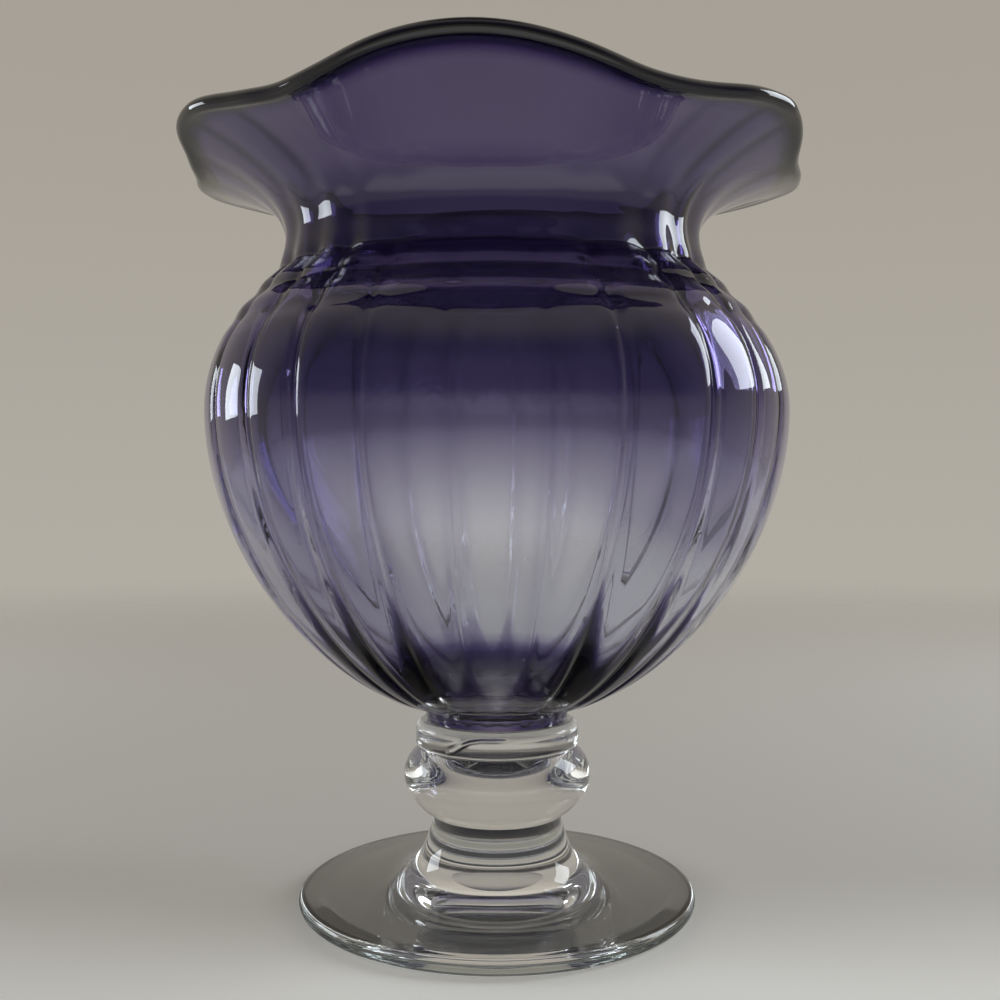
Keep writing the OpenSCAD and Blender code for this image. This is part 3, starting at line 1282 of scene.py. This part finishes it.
@dataclass(frozen=True)
class Room:
    """A pale wall all round, dark and cooler high up behind the camera.

    The camera sees it even, and what lights the floor is an even band low down. Spans are
    parts of a unit vector, which points ahead for behind_y and up for the others.
    """

    wall: Colour = (0.445, 0.42, 0.37)
    wall_top: Colour = (0.385, 0.355, 0.31)
    wall_top_z: Span = (-0.15, 0.4)
    dusk: Colour = (0.33, 0.32, 0.41)
    shade: float = 0.36
    behind_y: Span = (-0.35, 0.25)
    behind_z: Span = (0.0, 0.2)
    behind_end_z: Span = (0.6, 0.85)
    bright: float = 0.6
    bright_z: Span = (0.35, 0.8)
    dim: float = 0.75
    dim_z: Span = (0.9, 0.98)
    around: float = 1.8
    overhead: float = 0.4
    overhead_z: Span = (0.45, 0.8)

    def build(self) -> None:
        """Sets the room up as the world."""
        world = bpy.data.worlds.new("studio")
        bpy.context.scene.world = world
        world.use_nodes = True
        book = NodeBook(world.node_tree, "Generated")
        _, ahead, up = book.axes()
        path = book.add("ShaderNodeLightPath").outputs
        seen = Num(book, path["Is Camera Ray"])
        lit = Num(book, path["Diffuse Depth"]).eased(0.0, 1.0)
        behind = (1.0 - ahead.eased(*self.behind_y)) * up.eased(*self.behind_z)
        behind = behind * (1.0 - up.eased(*self.behind_end_z))
        level = (1.0 - behind * (1.0 - self.shade)) * (1.0 + up.eased(*self.bright_z) * self.bright)
        level = level * (1.0 - up.eased(*self.dim_z) * self.dim)
        band = self.overhead + (self.around - self.overhead) * (1.0 - up.eased(*self.overhead_z))
        strength = (level * (1.0 - seen) + seen) * (1.0 - lit) + band * lit
        shade = book.blend(up.eased(*self.wall_top_z), self.wall, self.wall_top)
        shade = book.blend(behind * (1.0 - lit) * (1.0 - seen), shade, self.dusk)
        back = book.add("ShaderNodeBackground", None, {"Color": shade, "Strength": strength})
        book.add("ShaderNodeOutputWorld", None, {"Surface": back.outputs[0]})


@dataclass(frozen=True)
class Floor:
    """Pale round floor that fades into the wall far from the vase. Lengths are in metres.

    It has painted light: a little glow under the clear foot, standing for light that the foot
    gathers there, a brighter front, and a glow in front that only the camera sees. The floor that the
    glass mirrors has a painted reflection, brighter in front, and a painted shadow, darker under the
    bowl.
    """

    colour: Colour = (0.72, 0.71, 0.685)
    grain: float = 900.0
    grain_dark: float = 0.96
    rough: float = 0.55
    sheen: float = 0.2
    # painted light: the floor is brighter in front of the vase
    near: Colour = (0.93, 0.96, 0.965)
    near_y: Span = (-0.1, 0.03)
    # painted shadow: the floor that the glass mirrors is darker under the bowl
    dark: Colour = (0.02, 0.02, 0.03)
    dark_share: float = 0.8
    dark_r: Span = (0.072, 0.092)
    # painted light: a glow under the clear foot, standing for light that the foot gathers there
    caught: float = 0.28
    caught_r: Span = (0.058, 0.069)
    # painted light: a glow in front of the vase that only the camera sees
    front: float = 0.18
    front_r: Span = (0.16, 0.4)
    # painted reflection: the floor that the glass mirrors glows in front of the vase
    mirrored: float = 1.0
    mirrored_y: Span = (-0.24, -0.09)
    fade_r: Span = (0.45, 1.4)
    radius: float = 2.2
    drop: float = 0.0002
    sides: int = 96

    def finish(self) -> bpy.types.Material:
        """The floor's material.

        Returns:
            A new material.
        """
        material = bpy.data.materials.new("pale_floor")
        material.use_nodes = True
        book = NodeBook(material.node_tree)
        reach, y = book.reach(), book.axes()[1]
        path = book.add("ShaderNodeLightPath").outputs
        seen, mirrored = Num(book, path["Is Camera Ray"]), Num(book, path["Is Glossy Ray"])
        # painted light: brighter towards the front
        near = 1.0 - y.eased(*self.near_y)
        grain = book.noise(book.point, self.grain)
        shade = book.blend(grain, self.colour, tuple(c * self.grain_dark for c in self.colour))
        shade = book.blend(near, shade, self.near)
        # painted shadow under the bowl, seen only in the glass
        dark = mirrored * (1.0 - reach.eased(*self.dark_r)) * self.dark_share
        # painted light under the foot
        under = (1.0 - reach.eased(*self.caught_r)) * (1.0 - mirrored)
        # painted light in front, seen only by the camera
        glow = under * self.caught + seen * near * (1.0 - reach.eased(*self.front_r)) * self.front
        # painted reflection: the mirrored floor glows in front
        glow = glow + mirrored * (1.0 - y.eased(*self.mirrored_y)) * self.mirrored
        shader = book.add(
            "ShaderNodeBsdfPrincipled",
            None,
            {
                "Base Color": book.blend(dark, shade, self.dark),
                "Roughness": self.rough,
                "Specular IOR Level": self.sheen,
                "Alpha": 1.0 - reach.eased(*self.fade_r),
                "Emission Color": book.blend(glow, (0.0, 0.0, 0.0), self.colour),
                "Emission Strength": 1.0,
            },
        )
        book.add("ShaderNodeOutputMaterial", None, {"Surface": shader.outputs[0]})
        return material

    def build(self) -> None:
        """Sets the floor up, just under the foot."""
        bpy.ops.object.select_all(action="DESELECT")
        bpy.ops.mesh.primitive_circle_add(vertices=self.sides, radius=self.radius, fill_type="NGON")
        floor = bpy.context.object
        floor.name = "floor"
        floor.location.z = -self.drop
        floor.data.materials.append(self.finish())


@dataclass(frozen=True)
class Pane:
    """A tall soft pane of light, 1 m from the vase's axis and turned to it.

    It stands on one side, -1 for left and 1 for right, and a turn in degrees puts it behind
    the vase. Its width, foot and top are in metres.
    """

    name: str
    side: int
    turn: float
    wide: float
    low: float
    high: float
    power: float = 18.0
    colour: Colour = (0.86, 0.93, 1.0)

    def build(self) -> None:
        """Sets the pane up, as bright for its size as the others."""
        data = bpy.data.lights.new(self.name, "AREA")
        tall = self.high - self.low
        data.shape, data.size, data.size_y = "RECTANGLE", self.wide, tall
        data.energy, data.color = self.power * self.wide * tall, self.colour
        lamp = bpy.data.objects.new(self.name, data)
        bpy.context.scene.collection.objects.link(lamp)
        a = math.radians(self.turn)
        x, y = self.side * math.cos(a), math.sin(a)
        lamp.location = (x, y, (self.low + self.high) / 2)
        lamp.rotation_euler = (math.radians(90), 0, math.atan2(y, x) + math.pi / 2)
        lamp.visible_camera = False


@dataclass(frozen=True)
class Studio:
    """Camera, room, floor and two panes of light."""

    left: Pane = Pane("left", -1, turn=18, wide=0.36, low=0.165, high=0.46)
    right: Pane = Pane("right", 1, turn=20, wide=0.42, low=0.33, high=0.92)
    bounces: int = 24
    mirror_bounces: int = 12

    def build(self) -> None:
        """Sets the whole studio up."""
        scene = bpy.context.scene
        scene.view_settings.view_transform = "Standard"
        scene.cycles.max_bounces = self.bounces
        scene.cycles.transmission_bounces = self.bounces
        scene.cycles.glossy_bounces = self.mirror_bounces
        for thing in (Camera(), Room(), Floor(), self.left, self.right):
            thing.build()


def main() -> None:
    """Builds the studio and the four pieces."""
    logging.basicConfig(level=logging.INFO, format="%(name)s: %(message)s")
    Studio().build()
    for maker in (Foot(), Knop(), Collar(), Bowl()):
        solid = maker.build()
        maker.dress(solid)
        log.info("%s: %d faces", solid.name, len(solid.data.polygons))


if __name__ == "__main__":
    main()
